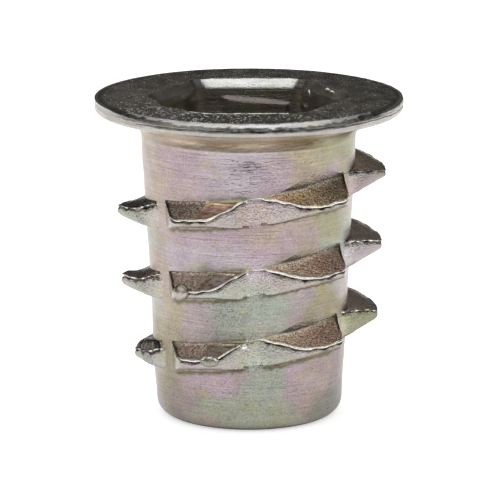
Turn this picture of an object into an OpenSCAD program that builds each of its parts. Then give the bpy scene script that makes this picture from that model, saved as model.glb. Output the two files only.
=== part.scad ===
// Screw-in threaded insert for wood, cast in one piece: a tapered body with a broken coarse
// thread outside, a flange with a hexagon socket at the top and a machine-thread bore through
// the middle. It stands on its narrow end; the origin is the middle of that end, +Z is up.
// All lengths are in millimetres and all angles in degrees.

/* [Body] */
// Overall length, from the narrow end to the flange's top face
length = 18.85; // [17:0.05:24]
// Body diameter where it meets the flange
body_top_d = 12.5; // [12.2:0.05:13.4]
// Body diameter at the narrow end
body_end_d = 10.8; // [10.2:0.05:12]
// Rounding round the narrow end
end_round = 0.5; // [0.2:0.05:1]

/* [Flange] */
// Diameter over the flange's rim
flange_d = 18; // [16:0.1:24]
// Height of the flange, from its top face to where its cone runs into the body
flange_h = 1.65; // [1.3:0.05:2.2]
// How far in the rim's upper rounding starts
rim_upper_run = 0.45; // [0.1:0.05:0.6]
// How far down the rim's widest circle lies
rim_upper_drop = 0.26; // [0.1:0.02:0.4]
// How far in the rim's lower rounding ends
rim_lower_run = 0.3; // [0.1:0.05:0.6]
// Height of the rim's lower rounding
rim_lower_drop = 0.55; // [0.2:0.05:0.8]
// Radius of the hollow fillet between the flange's cone and the body
neck_fillet = 0.8; // [0.1:0.05:1]

/* [Coarse thread] */
// Rise of the thread in one turn
pitch = 4.2; // [3.6:0.01:5]
// Number of turns
turns = 3; // [2:1:3]
// Depth of the topmost side point below the flange's top face
top_point_depth = 4.64; // [4.2:0.02:6]
// How much lower the left-hand side lies than an even thread, where the mould halves meet
left_drop = 0.14; // [0:0.01:0.3]
// Width of the leaves where they leave the body
leaf_root_w = 1.78; // [1.2:0.02:2]
// Width of the side points where they leave the body
point_root_w = 1.5; // [1.2:0.02:2]
// Width of the thread's blunt crest
crest_w = 0.38; // [0.1:0.02:0.6]
// How far the leaves stand out from the body
leaf_reach = 1.8; // [1:0.05:2.5]
// How far the points on the right-hand side stand out
right_point_reach = 1.85; // [1:0.05:2.5]
// How far the points on the left-hand side stand out
left_point_reach = 1.7; // [1:0.05:2.5]
// Share of its full height that the thread starts with, at the narrow end
start_share = 0.35; // [0.1:0.05:1]
// Turn over which the thread grows to its full height
start_run = 180; // [90:10:360]

/* [Breaks in the thread] */
// Angle over which a point rises out of the body, below it along the thread
point_head = 20; // [10:1:23]
// Angle over which a left-hand point falls back into the body
left_tail = 30; // [20:1:33]
// Angle over which a right-hand point falls back into the body
right_tail = 44; // [35:1:46]
// Angle over which a right-hand point keeps its full reach
right_hold = 10; // [1:1:14]
// Angle from a right-hand point to the bend in its tail
right_bend = 26; // [15:1:32]
// How far the tail stands out at that bend
right_bend_reach = 1.5; // [0.4:0.05:1.8]
// Angle of bare body between a point and a leaf
gap = 5; // [3:1:8]
// Angle over which a leaf rises after a left-hand or a right-hand point
leaf_rise = 20; // [12:1:20]
// Angle from a side point to where the first leaf starts to fall
first_fall = 73; // [72:1:80]
// Angle from a side point to where the first leaf ends, in the notch between the two leaves
notch = 90; // [86:1:94]
// Angle of bare body in that notch
notch_w = 5; // [2:1:8]
// Angle from a side point to the bend in the second leaf's rise
second_bend = 114; // [106:1:118]
// How far the second leaf stands out at that bend
second_bend_reach = 1.5; // [0.8:0.05:1.7]
// Angle from a side point to where the second leaf is at its full height
second_full = 122; // [119:1:126]
// Angle from a side point to where the second leaf starts to fall
second_fall = 134; // [127:1:140]
// Angle over which the second leaf falls into the body
leaf_drop = 20; // [12:1:20]

/* [Hexagon socket] */
// Width across the socket's flats
hex_af = 10; // [8:0.1:10.4]
// Diameter over the socket's rounded corners
hex_corner_d = 11.1; // [9:0.1:11.4]
// Depth of the socket
hex_depth = 5; // [3:0.1:7]
// Width of the bevel round the socket's mouth
mouth_bevel_w = 0.32; // [0.1:0.02:0.5]
// Depth of the bevel round the socket's mouth
mouth_bevel_h = 0.5; // [0.2:0.05:0.8]

/* [Bore] */
// Diameter of the bore, at the tips of its machine thread
bore_d = 6.8; // [5:0.1:7.2]
// Width of the lead-in bevel at the upper end of the bore
upper_lead = 0.8; // [0.2:0.05:1]
// Width of the lead-in bevel at the lower end of the bore
lower_lead = 0.45; // [0.2:0.05:0.6]

/* [Hidden] */

// Height at which the body meets the flange's cone
neck_z = length - flange_h;
// Half the body's narrowing for each millimetre of height
body_slope = (body_top_d - body_end_d) / 2 / neck_z;
// Height and radius of the rim's widest circle
rim_z = length - rim_upper_drop;
rim_r = flange_d / 2;
// Foot of the rim, where the flange's cone starts
foot_z = rim_z - rim_lower_drop;
foot_r = rim_r - rim_lower_run;
// Steps in each rounding, and sides of each round surface
round_steps = 6;
round_sides = 96;
// How deep the thread's root and its breaks lie inside the body
root_sink = 0.35;
break_sink = 0.05;
// Length that a cutting shape runs past the face that it cuts
past = 1;
// Widest step between two cross-sections of the thread
section_step = 8;
// The thread starts and ends in the notch behind the body, where its depth is nothing
start_angle = notch;
end_angle = notch + 360 * turns;
// Height of the thread's middle where its angle is 0, on the right-hand side
zero_z = length - top_point_depth - pitch * turns;

// Radius of the body at height z
function body_r(z) = body_end_d / 2 + body_slope * z;

// Height of the thread's middle at angle a
function thread_z(a) = zero_z + pitch * a / 360 - left_drop * (1 - cos(a)) / 2;

// Points of a quarter ellipse about c with half axes rx and rz, from angle a to angle b
function rounding(c, rx, rz, a, b) =
    [for (i = [0 : round_steps])
        let (t = a + (b - a) * i / round_steps)
        [c[0] + rx * cos(t), c[1] + rz * sin(t)]];

// Outline of the body and flange, right of the axis
function outline() =
    let (
        cone_tilt = atan2(foot_z - neck_z, foot_r - body_r(neck_z)),
        // the fillet touches the body's side and the flange's cone
        fillet_z = neck_z - neck_fillet * tan((90 - cone_tilt) / 2),
        fillet_c = [body_r(fillet_z) + neck_fillet, fillet_z]
    )
    concat(
        [[0, 0]],
        rounding([body_r(end_round) - end_round, end_round], end_round, end_round, -90, 0),
        rounding(fillet_c, neck_fillet, neck_fillet, 180, 90 + cone_tilt),
        rounding([foot_r, rim_z], rim_lower_run, rim_lower_drop, -90, 0),
        rounding([rim_r - rim_upper_run, rim_z], rim_upper_run, rim_upper_drop, 0, 90),
        [[0, length]]
    );

module body() {
    rotate_extrude($fn = round_sides) polygon(outline());
}

// Corners of the thread's plan, as [angle, reach, root width]: a point's tail, then the two
// leaves. Reach is how far the thread stands out from the body. In the breaks it is a little
// less than nothing, so that the thread goes on just under the surface.
function at_point(a, reach) = [a, reach, point_root_w];
function at_leaf(a, reach) = [a, reach, leaf_root_w];
function left_point(a) = [at_point(a, left_point_reach), at_point(a + left_tail, -break_sink)];
function right_point(a) = [
    at_point(a, right_point_reach), at_point(a + right_hold, right_point_reach),
    at_point(a + right_bend, right_bend_reach), at_point(a + right_tail, -break_sink)
];
function leaves(a, tail) = [
    at_leaf(a + tail + gap, -break_sink), at_leaf(a + tail + gap + leaf_rise, leaf_reach),
    at_leaf(a + first_fall, leaf_reach), at_leaf(a + notch, -break_sink),
    at_leaf(a + notch + notch_w, -break_sink), at_leaf(a + second_bend, second_bend_reach),
    at_leaf(a + second_full, leaf_reach), at_leaf(a + second_fall, leaf_reach),
    at_leaf(a + second_fall + leaf_drop, -break_sink), at_point(a + 180 - point_head, -break_sink)
];

// Corners over the half turn that starts at the side point at angle a
function corners(a) =
    a % 360 == 0
        ? concat(right_point(a), leaves(a, right_tail), [at_point(a + 180, left_point_reach)])
        : concat(left_point(a), leaves(a, left_tail), [at_point(a + 180, right_point_reach)]);

// Reach at angle a between the corners p and q. Where both reach as far, the thread follows
// the body; anywhere else it is cut off straight, seen from above.
function reach_between(a, p, q) =
    p[1] == q[1] ? p[1] :
    let (
        r = body_r(thread_z(a)),
        rp = r + p[1],
        rq = r + q[1]
    )
    rp * rq * sin(q[0] - p[0]) / (rp * sin(a - p[0]) + rq * sin(q[0] - a)) - r;

// The thread's [angle, reach, root width] from the side point at angle a to the next one
function half_turn(a) =
    let (c = corners(a))
    [for (i = [0 : len(c) - 2])
        let (
            p = c[i],
            q = c[i + 1],
            steps = ceil((q[0] - p[0]) / section_step)
        )
        for (j = [0 : steps - 1])
            let (share = j / steps, t = p[0] + (q[0] - p[0]) * share)
            [t, reach_between(t, p, q), p[2] + (q[2] - p[2]) * share]];

// Share of the thread's full height at angle a
function growth(a) = min(1, start_share + (1 - start_share) * (a - start_angle) / start_run);

// Cross-section of the thread at angle a: two corners inside the body, two on the crest
function section(a, reach, root_w) =
    let (
        r = body_r(thread_z(a)),
        full = max(left_point_reach, right_point_reach, leaf_reach),
        flank = (root_w - crest_w) / 2 / full,
        out = reach > 0 ? reach * growth(a) : reach
    )
    [for (c = [[-root_sink, 1], [out, 1], [out, -1], [-root_sink, -1]])
        [
            (r + c[0]) * cos(a),
            (r + c[0]) * sin(a),
            thread_z(a) + c[1] * (root_w / 2 - flank * c[0])
        ]];

module thread() {
    stations = [
        for (h = [0 : 2 * turns + 1])
            for (s = half_turn(180 * h))
                if (s[0] >= start_angle && s[0] <= end_angle) s
    ];
    points = [for (s = stations) each section(s[0], s[1], s[2])];
    last = len(points) - 4;
    polyhedron(
        points,
        concat(
            [[0, 1, 2, 3], [last + 3, last + 2, last + 1, last]],
            [for (i = [0 : 4 : last - 4])
                for (k = [0 : 3])
                    let (k2 = (k + 1) % 4)
                    each [[i + k, i + 4 + k2, i + k2], [i + k, i + 4 + k, i + 4 + k2]]]
        ),
        convexity = 10
    );
}

// Hexagon socket with a bevelled mouth: three crossed bars make the hexagon, and the round
// shape trims its corners
module socket() {
    bevel = [
        [0, -hex_depth], [0, -mouth_bevel_h], [mouth_bevel_w, 0], [mouth_bevel_w, past]
    ];
    right = [for (b = bevel) [hex_af / 2 + b[0], b[1]]];
    left = [for (i = [len(right) - 1 : -1 : 0]) [-right[i][0], right[i][1]]];
    corner = [for (b = bevel) [hex_corner_d / 2 + b[0], b[1]]];
    translate([0, 0, length]) intersection() {
        intersection_for (turn = [30, 90, 150])
            rotate([90, 0, turn])
                linear_extrude(height = 2 * flange_d, center = true)
                    polygon(concat(right, left));
        rotate_extrude($fn = round_sides)
            polygon(concat([[0, -hex_depth]], corner, [[0, past]]));
    }
}

// Bore with a lead-in bevel at each end
module bore() {
    floor_z = length - hex_depth;
    r = bore_d / 2;
    rotate_extrude($fn = round_sides)
        polygon([
            [0, -past], [r + lower_lead + past, -past], [r, lower_lead],
            [r, floor_z - upper_lead], [r + upper_lead + past, floor_z + past],
            [0, floor_z + past]
        ]);
}

module insert() {
    color("DarkKhaki") difference() {
        union() {
            body();
            thread();
        }
        socket();
        bore();
    }
}

insert();
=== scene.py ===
import math
from types import SimpleNamespace

import bpy
import numpy as np
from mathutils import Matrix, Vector


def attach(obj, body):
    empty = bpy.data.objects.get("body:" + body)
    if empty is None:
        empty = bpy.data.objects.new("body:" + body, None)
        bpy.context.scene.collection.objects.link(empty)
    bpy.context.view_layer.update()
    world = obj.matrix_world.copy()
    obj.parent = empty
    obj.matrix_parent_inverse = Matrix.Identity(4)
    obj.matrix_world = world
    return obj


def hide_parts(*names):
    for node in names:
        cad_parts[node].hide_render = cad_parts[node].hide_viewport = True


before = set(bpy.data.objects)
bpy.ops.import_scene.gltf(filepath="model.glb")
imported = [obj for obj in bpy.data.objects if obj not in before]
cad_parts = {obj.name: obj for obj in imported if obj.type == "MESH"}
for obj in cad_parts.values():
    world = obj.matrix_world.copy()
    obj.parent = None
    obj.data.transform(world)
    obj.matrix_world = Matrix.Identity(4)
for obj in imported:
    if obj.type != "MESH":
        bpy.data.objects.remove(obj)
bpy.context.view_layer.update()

# ---------------------------------------------------------------------------
# Camera
# A long lens at a hand's distance, a little above the flange, looking along +Y.
# ---------------------------------------------------------------------------
CAMERA_DISTANCE = 0.230
CAMERA_ELEVATION = math.radians(13.1)
CAMERA_LENS = 282.7
AIM = Vector((0.00004, 0.0, 0.00962))


def placed(name, data):
    """A new object that shows the data, put into the scene."""
    made = bpy.data.objects.new(name, data)
    bpy.context.scene.collection.objects.link(made)
    return made


camera_data = bpy.data.cameras.new("camera")
camera_data.lens = CAMERA_LENS
camera_data.sensor_width = 36.0
camera_data.clip_start = 0.01
camera_data.clip_end = 10.0
camera = placed("camera", camera_data)
back = Vector((0.0, -math.cos(CAMERA_ELEVATION), math.sin(CAMERA_ELEVATION)))
camera.location = AIM + back * CAMERA_DISTANCE
camera.rotation_mode = "QUATERNION"
camera.rotation_quaternion = (-back).to_track_quat("-Z", "Y")
bpy.context.scene.camera = camera

# ---------------------------------------------------------------------------
# Body, flange, socket and bore
# One pressure casting in zinc alloy: a slightly tapered barrel, a thin flange with a rolled
# rim and a hexagon socket. The barrel is drilled through and lightly turned up to the neck,
# then the whole is passivated, which leaves a thin film in patches of colour.
# ---------------------------------------------------------------------------
MM = 0.001  # every size from here on is in millimetres, and becomes metres in the mesh
LENGTH = 18.85
BODY_TOP_D = 12.5
BODY_END_D = 10.8
END_ROUND = 0.9
FLANGE_D = 18.0
FLANGE_H = 1.65
RIM_UPPER_RUN = 0.48
RIM_UPPER_DROP = 0.26
RIM_LOWER_RUN = 0.3
RIM_LOWER_DROP = 0.55
SEAM_DROP = 0.395  # seam round the rim, below the flange's top face
SEAM_DEPTH = 0.05
NECK_FILLET = 1.05
TURNED_TOP = 16.72  # where the turning tool stopped
HEX_AF = 10.0
HEX_CORNER_D = 11.1
HEX_DEPTH = 5.0
MOUTH_BEVEL_W = 0.32
MOUTH_BEVEL_H = 0.5
MAJOR_D = 8.06  # bore wall, at the roots of the machine thread
LEAD_D = 8.4
SWELLING = 0.20  # how far the rear flat stands in
SWELLING_TOP = 17.92  # height of the swelling's edge at its left end
SWELLING_FALL = 0.45  # how far the edge falls towards its right end
SWELLING_LEFT = 109  # angle of its left end, and the degrees from there to the right one
SWELLING_SPAN = 44
# Lumps on the socket's wall: angle, height, half widths in degrees and height, depth
WALL_LUMPS = [
    (52.5, 17.36, 2.2, 0.12, 0.16),
    (137.0, 18.00, 5.0, 0.20, 0.10),
    (128.0, 17.70, 4.0, 0.16, 0.09),
]
# Rows over the mouth's lip: how far out from the mouth and how far down they lie, and how
# deep the groove round the lip is there
LIP_OUT = [0.25, 0.16, 0.14, 0.13, 0.07, 0.06, 0.0, -0.035]
LIP_DOWN = [0.0, 0.0, 0.0, 0.0, 0.0, 0.0, 0.012, 0.06]
LIP_GROOVE = [0.0, 0.065, 0.065, 0.058, 0.007, 0.0, 0.0, 0.0]
FRONT = 270  # angle of the side that faces the camera
REAR = 90
AROUND = 288  # columns round the axis

PITCH = 4.2  # the coarse thread's line, which the film follows
TURNS = 3
START = 90  # angle at which it starts
TOP_POINT_DEPTH = 4.64
LEFT_DROP = 0.14
LOWER_ROOT = 0.48  # how far a leaf's lower root lies under the thread's middle

NECK_Z = LENGTH - FLANGE_H
BODY_SLOPE = (BODY_TOP_D - BODY_END_D) / 2 / NECK_Z
RIM_Z = LENGTH - RIM_UPPER_DROP
RIM_R = FLANGE_D / 2
SEAM_Z = LENGTH - SEAM_DROP
ZERO_Z = LENGTH - TOP_POINT_DEPTH - PITCH * TURNS


def body_r(z):
    """Radius of the barrel at height z: a straight taper."""
    return BODY_END_D / 2 + BODY_SLOPE * z


def thread_z(angle):
    """Height of the thread's middle at each angle, in degrees: an even rise, with the left
    side set down a little."""
    return ZERO_Z + PITCH * angle / 360 - LEFT_DROP * (1 - np.cos(np.radians(angle))) / 2


def lower_root(angle):
    """Depth of a leaf's lower root under the thread's middle: a little more on each turn
    down, and more again towards the far end of the second leaf."""
    within = angle % 180
    fall = 0.30 * smooth(within, 122, 152) + 0.10 * smooth(within, 94, 110) * (angle < 360)
    return LOWER_ROOT + 0.06 * (TURNS - 0.5 - angle / 360) + fall


def quarter(centre, run, rise, start, end, count):
    """Points of an ellipse about centre, with half axes run and rise, between two angles."""
    t = np.radians(np.linspace(start, end, count))
    return np.stack([centre[0] + run * np.cos(t), centre[1] + rise * np.sin(t)], axis=1)


def mix(a, b, share):
    """From a to b: a where the share is nought, b where it is one, and evenly between."""
    return a + share * (np.asarray(b) - a)


def straight(start, end, count):
    """Evenly spaced points from start towards end, without the two ends."""
    return mix(np.array(start), end, np.linspace(0, 1, count + 2)[1:-1, None])


def smooth(x, low, high):
    """Soft step from nought at low to one at high: 3t² − 2t³ of the clipped share t. Where
    low is the larger of the two, the step falls."""
    t = np.clip((x - low) / (high - low), 0, 1)
    return t * t * (3 - 2 * t)


def window(x, start, full, fade, end):
    """One between full and fade, nought before start and past end: two soft steps."""
    return smooth(x, start, full) * smooth(x, end, fade)


def hump(x, middle, width):
    """Bell curve of height one: the exponential of minus the squared distance in widths."""
    return np.exp(-(((x - middle) / width) ** 2))


def polar(points):
    """Distance from the axis, angle in degrees and height of each point."""
    turn = np.degrees(np.arctan2(points[..., 1], points[..., 0])) % 360
    return np.linalg.norm(points[..., :2], axis=-1), turn, points[..., 2]


def off_front(turn):
    """How many degrees an angle lies away from the front, on either side."""
    return np.abs(turn - FRONT)


def ripple(points, size, waves, seed):
    """Smooth random field: the sum of waves cosines in random directions, each about size
    long, scaled to a spread of one."""
    rng = np.random.default_rng(seed)
    direction = rng.normal(size=(waves, 3))
    direction /= np.linalg.norm(direction, axis=1)[:, None]
    number = direction * (2 * np.pi / size) * rng.uniform(0.6, 1.5, (waves, 1))
    phase = rng.uniform(0, 2 * np.pi, waves)
    total = np.cos(points.reshape(-1, 3) @ number.T + phase).sum(axis=1)
    return (total / math.sqrt(waves / 2)).reshape(points.shape[:-1])


# Colours of the passivation film over bright zinc
ROSE = (0.445, 0.355, 0.395)
LILAC = (0.455, 0.403, 0.443)
SAND = (0.425, 0.350, 0.315)
STRAW = (0.405, 0.360, 0.250)
OLIVE = (0.320, 0.290, 0.180)
SAGE = (0.375, 0.405, 0.350)
LEAF = (0.330, 0.330, 0.215)
MOSS = (0.390, 0.410, 0.325)
MAUVE = (0.325, 0.265, 0.285)
DUSK = (0.395, 0.340, 0.345)
SLATE = (0.270, 0.265, 0.235)
NECK_SHADE_BRONZE = (0.262, 0.222, 0.168)
GREY = (0.40, 0.385, 0.36)
FACE_GREY = (0.315, 0.294, 0.259)
OLIVE_ROOT_SHADE = (0.150, 0.135, 0.075)
DARK_ROOT_SHADE = (0.24, 0.23, 0.15)
RIM_HIGHLIGHT = (0.98, 0.97, 0.94)
SOCKET_SHADE = (0.32, 0.305, 0.27)
SOCKET_PINK = (0.25, 0.22, 0.20)
BEVEL_GREY = (0.40, 0.37, 0.34)
BEVEL_HIGHLIGHT = (0.80, 0.81, 0.77)
# Patches of film on the barrel: angle, height, half width in degrees, half height, colour
PATCHES = [
    (227, 15.6, 16, 1.1, ROSE),
    (219, 14.0, 22, 0.7, SAND),
    (208, 15.5, 9, 1.6, SAND),
    (262, 15.9, 13, 1.5, LILAC),
    (284, 15.0, 10, 1.2, ROSE),
    (299, 15.8, 9, 1.3, STRAW),
    (303, 14.6, 8, 0.7, SAND),
    (318, 15.4, 9, 0.5, ROSE),
    (327, 16.3, 12, 0.7, LEAF),
    (333, 14.4, 8, 0.9, STRAW),
    (324, 12.2, 11, 1.0, LEAF),
    (242, 11.6, 24, 0.8, ROSE),
    (283, 12.2, 14, 0.7, SAND),
    (243, 10.4, 30, 0.6, LILAC),
    (284, 11.3, 16, 0.8, ROSE),
    (300, 11.0, 9, 0.6, SAND),
    (332, 9.8, 10, 0.9, SAGE),
    (214, 12.0, 9, 1.2, SAND),
    (217, 6.3, 10, 1.1, STRAW),
    (237, 6.9, 10, 0.9, ROSE),
    (258, 7.2, 16, 1.3, SAGE),
    (281, 7.6, 10, 0.7, SAGE),
    (299, 7.4, 9, 0.9, DUSK),
    (323, 7.4, 10, 1.0, OLIVE),
    (200, 8.0, 12, 1.6, SAND),
    (208, 2.8, 15, 1.8, OLIVE),
    (244, 3.1, 17, 1.0, ROSE),
    (225, 1.4, 14, 0.7, MAUVE),
    (279, 3.4, 11, 1.2, SAGE),
    (262, 1.0, 22, 0.7, MOSS),
    (355, 12.3, 9, 1.7, MOSS),
    (298, 3.4, 7, 0.8, ROSE),
    (312, 3.0, 10, 0.9, SAND),
    (334, 3.4, 9, 1.2, MAUVE),
    (332, 1.2, 14, 0.8, SLATE),
    (352, 13.4, 18, 0.9, ROSE),
    (352, 9.2, 18, 0.9, LILAC),
    (356, 5.0, 15, 0.9, LEAF),
    (188, 11.2, 16, 0.9, SAGE),
    (188, 7.0, 16, 0.9, SAGE),
    (188, 2.9, 16, 0.9, LILAC),
]


def film_colour(points):
    """Film colour at each point of the outside: the mean of the patches' colours, each
    weighted by a bell curve of its distance. Ripples bend the patches' outlines, and behind
    the barrel the same patches come again, turned and shifted."""
    _, turn, z = polar(points)
    z = z + 0.35 * ripple(points, 2.6, 30, 11)
    turn = turn + 3.5 * ripple(points, 2.2, 30, 12)
    again = [((a + 187) % 360, (z0 * 1.6 + 3) % 17, w, h, c) for a, z0, w, h, c in PATCHES]
    total = 0.05
    mixed = total * np.array(SAND)
    for angle, height, wide, high, colour in PATCHES + again:
        away = (turn - angle + 180) % 360 - 180
        weight = (hump(away, 0, wide) * hump(z, height, high))[..., None]
        mixed = mixed + weight * np.array(colour)
        total = total + weight
    return mixed / total


def closed_mesh(name, points, film, painted_shade, open_grain, caps=True):
    """Mesh of one grid of points, or of several, with rows along and columns around. Columns
    close on themselves. Rows close too, or each end gets one face as its cap. Film, painted
    shade and open grain are kept as vertex values."""
    rows, columns = points.shape[-3:-1]
    count = points.size // 3
    row = columns * np.arange(rows - 1 if caps else rows)[:, None]
    next_row = (row + columns) % (rows * columns)
    column = np.arange(columns)
    ahead = (column + 1) % columns
    quads = np.stack([row + column, row + ahead, next_row + ahead, next_row + column], axis=-1)
    ends = np.stack([column[::-1], column + (rows - 1) * columns])
    first = np.arange(0, count, rows * columns)[:, None, None]
    faces = (quads.reshape(-1, 4) + first).reshape(-1, 4).tolist()
    if caps:
        faces += (ends + first).reshape(-1, columns).tolist()
    mesh = bpy.data.meshes.new(name)
    mesh.from_pydata((points.reshape(-1, 3) * MM).tolist(), [], faces)
    opaque = np.ones((count, 4))
    opaque[:, :3] = np.broadcast_to(film, points.shape).reshape(-1, 3)
    mesh.attributes.new("film", "FLOAT_COLOR", "POINT").data.foreach_set("color", opaque.ravel())
    for label, value in (("painted_shade", painted_shade), ("open_grain", open_grain)):
        values = np.broadcast_to(value, points.shape[:-1]).ravel().copy()
        mesh.attributes.new(label, "FLOAT", "POINT").data.foreach_set("value", values)
    mesh.update()
    mesh.shade_smooth()
    return placed(name, mesh)


def outer_profile():
    """Radius and height pairs up the outside: bottom edge, barrel, hollow fillet that touches
    the barrel and the flange's cone, cone, then the rim with its seam."""
    foot = (RIM_R - RIM_LOWER_RUN, RIM_Z - RIM_LOWER_DROP)
    tilt = math.degrees(math.atan2(foot[1] - NECK_Z, foot[0] - body_r(NECK_Z)))
    fillet_z = NECK_Z - NECK_FILLET * math.tan(math.radians((90 - tilt) / 2))
    fillet = (body_r(fillet_z) + NECK_FILLET, fillet_z)
    bottom = quarter((body_r(END_ROUND) - END_ROUND, END_ROUND), END_ROUND, END_ROUND, -90, 0, 9)
    step = np.array([(body_r(TURNED_TOP + d), TURNED_TOP + d) for d in (-0.08, -0.03, 0.0)])
    neck = quarter(fillet, NECK_FILLET, NECK_FILLET, 180, 90 + tilt, 24)[1:]
    lower = quarter((foot[0], SEAM_Z - 0.075), RIM_LOWER_RUN - 0.045, 0.34, -90, 0, 12)
    # the seam, and the rim's upper side: how far inside the rim's edge, and at what height
    inside = [0.05 + SEAM_DEPTH * share for share in (0.0, 0.8, 1.0, 0.7)] + [0.02, 0.004, 0.016]
    above = [-0.05, -0.018, 0.0, 0.02, 0.06, 0.09, 0.13]
    seam = np.stack([RIM_R - np.array(inside), SEAM_Z + np.array(above)], axis=1)
    inside = [0.045, 0.090, 0.150, 0.220, 0.300, 0.380, 0.448, 0.472, RIM_UPPER_RUN]
    below = [0.238, 0.215, 0.183, 0.144, 0.099, 0.053, 0.015, 0.003, 0.0]
    upper = np.stack([RIM_R - np.array(inside), LENGTH - np.array(below)], axis=1)
    barrel = straight(bottom[-1], step[0], 165)
    cone = straight(neck[-1], lower[0], 8)
    return np.concatenate([bottom, barrel, step, neck, cone, lower, seam, upper])


def hexagon_r(turn, grow):
    """Radius of the socket at each angle, with its flats moved out by grow: the flat's
    distance over the cosine of the angle from its middle, up to the rounded corners."""
    from_flat = np.radians(np.degrees(turn) % 60 - 30)
    flat = (HEX_AF / 2 + grow) / np.cos(from_flat)
    return np.minimum(flat, HEX_CORNER_D / 2 + grow)


def along_swelling(degrees):
    """How far across the rear flat an angle lies, from nought at the left to one."""
    return np.clip((SWELLING_LEFT - degrees) / SWELLING_SPAN, 0, 1)


def swelling_edge(degrees):
    """Height of the slanting line where the swelling on the rear flat begins."""
    return SWELLING_TOP - SWELLING_FALL * along_swelling(degrees) ** 2.2


def wall_dents(turn, z):
    """How far the socket's wall stands in at each angle and height: a swelling low on the
    rear flat that begins along a slanting line, and small lumps in the two rear corners."""
    degrees = np.degrees(turn) % 360
    fade = 0.12 + 0.30 * np.sin(np.pi * along_swelling(degrees) ** 0.7)
    swelling = SWELLING * smooth(swelling_edge(degrees) - z, 0.0, fade)
    dents = swelling * window(degrees, 63.5, 66.5, 103, 110) * smooth(z, 16.6, 17.2)
    for at, high, wide, tall, depth in WALL_LUMPS:
        dents = dents + depth * hump(degrees, at, wide) * hump(z, high, tall)
    return dents


def body_points():
    """Grid of points, one row for each step along the closed outline, one column for each
    angle. The outline runs up the outside, in over the flange, down the socket and the bore
    and out again under the narrow end."""
    turn = np.arange(AROUND) * 2 * np.pi / AROUND
    degrees = np.degrees(turn)
    wall = hexagon_r(turn, 0.0)
    mouth = hexagon_r(turn, MOUTH_BEVEL_W) + 0.55 * hump(degrees, 211, 13)  # worn corner
    lip = smooth(np.abs(degrees - 262), 40, 26) * (0.8 + 0.2 * np.cos(turn * 41))
    shares = np.linspace(0, 1, 18)[1:-1]
    rows = outer_profile().tolist()
    rows += [(mix(RIM_R - RIM_UPPER_RUN, mouth + 0.30, share), LENGTH) for share in shares]
    for out, down, groove in zip(LIP_OUT, LIP_DOWN, LIP_GROOVE):
        rows.append((mouth + out, LENGTH - down - groove * lip))
    inner, top = rows[-1]
    for share, down in [(0.5, 0.5), (0.92, 0.9), (1.0, 1.1)]:
        rows.append((mix(inner, wall, share), mix(top, LENGTH - MOUTH_BEVEL_H, down)))
    wall_top, floor_z = LENGTH - MOUTH_BEVEL_H * 1.2, LENGTH - HEX_DEPTH
    heights = np.linspace(wall_top, wall_top - 1.7, 30).tolist()
    heights += np.linspace(wall_top - 1.9, floor_z + 0.12, 8).tolist()
    rows += [(wall - wall_dents(turn, z), z) for z in heights]
    lead, bore = LEAD_D / 2, MAJOR_D / 2
    rows.append((mix(wall, lead, 0.03), floor_z + 0.03))
    rows += [(mix(wall, lead, share), floor_z) for share in (0.1, 0.3, 0.5, 0.7, 0.9, 1.0)]
    rows.append((bore, floor_z - (lead - bore)))
    rows += straight((bore, floor_z - 0.2), (bore, 0.2), 16).tolist()
    rows += [(bore, 0.1), (bore + 0.1, 0.0)]
    rows += straight((bore + 0.1, 0.0), (body_r(END_ROUND) - END_ROUND, 0.0), 3).tolist()
    r, z = np.moveaxis([np.broadcast_arrays(r, z, turn)[:2] for r, z in rows], 1, 0)
    return np.stack([r * np.cos(turn), r * np.sin(turn), z], axis=-1)


def skin_swell(points):
    """Long shallow waves of the casting's skin, in millimetres: two ripples, taken where each
    point's own angle and height fall on the barrel, and a fuller side on the left."""
    r, turn, z = polar(points)
    onto = points.copy()
    onto[..., :2] *= (body_r(z) / np.maximum(r, 1e-6))[..., None]
    fuller = 0.10 * smooth(z, 7.5, 13.0) + 0.07 * hump(z, 2.6, 1.6)
    waves = ripple(onto, 5.0, 24, 3) * 0.018 + ripple(onto, 1.6, 40, 4) * 0.005
    return waves + fuller * hump(turn, 186, 40)


def cast_skin(points):
    """The outline moved in and out a few hundredths of a millimetre, as a casting's skin is:
    long shallow waves all over, short ones round the rim, and a seam that wanders."""
    r, turn, z = polar(points)
    side = (r > body_r(z) - 0.02) & (z > 0.6)
    rim = hump(z, RIM_Z - 0.1, 0.35) * (r > RIM_R - 0.7)
    push = np.where(side, skin_swell(points) + ripple(points, 0.9, 40, 5) * 0.013 * rim, 0.0)
    outer = r > RIM_R - 0.3
    aside = smooth(off_front(turn), 34, 50)
    broken = 1 - 2 * aside + (1 - aside) * ripple(points, 0.55, 40, 8)
    push = push - 0.04 * hump(z, SEAM_Z, 0.05) * outer * broken
    push = np.where(r > RIM_R - 0.02, np.minimum(push, 0.0) - 0.012, push)
    push = np.minimum(push, RIM_R - 0.012 - r)
    moved = points.copy()
    moved[..., :2] *= ((r + push) / np.maximum(r, 1e-6))[..., None]
    moved[..., 2] += 0.022 * hump(z, SEAM_Z, 0.09) * outer * ripple(points, 0.8, 40, 7)
    # the rim's upper edge is rolled over most in front
    square = smooth(off_front(turn), 36, 66)
    edge = smooth(z, RIM_Z - 0.06, RIM_Z + 0.03) * smooth(r, RIM_R - 0.52, RIM_R - 0.47)
    moved[..., 2] += 0.72 * square * edge * (LENGTH - z)
    top = (z > LENGTH - 0.02) & (r < RIM_R)
    moved[..., 2] -= np.where(top, np.abs(ripple(points, 1.4, 40, 6)) * 0.012, 0.0)
    return moved


def laps(turn):
    """The thread's own angle at a turn round the axis, for each of its turns, counted from
    its start."""
    return [START + (turn - START) % 360 + 360 * lap for lap in range(TURNS)]


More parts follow.
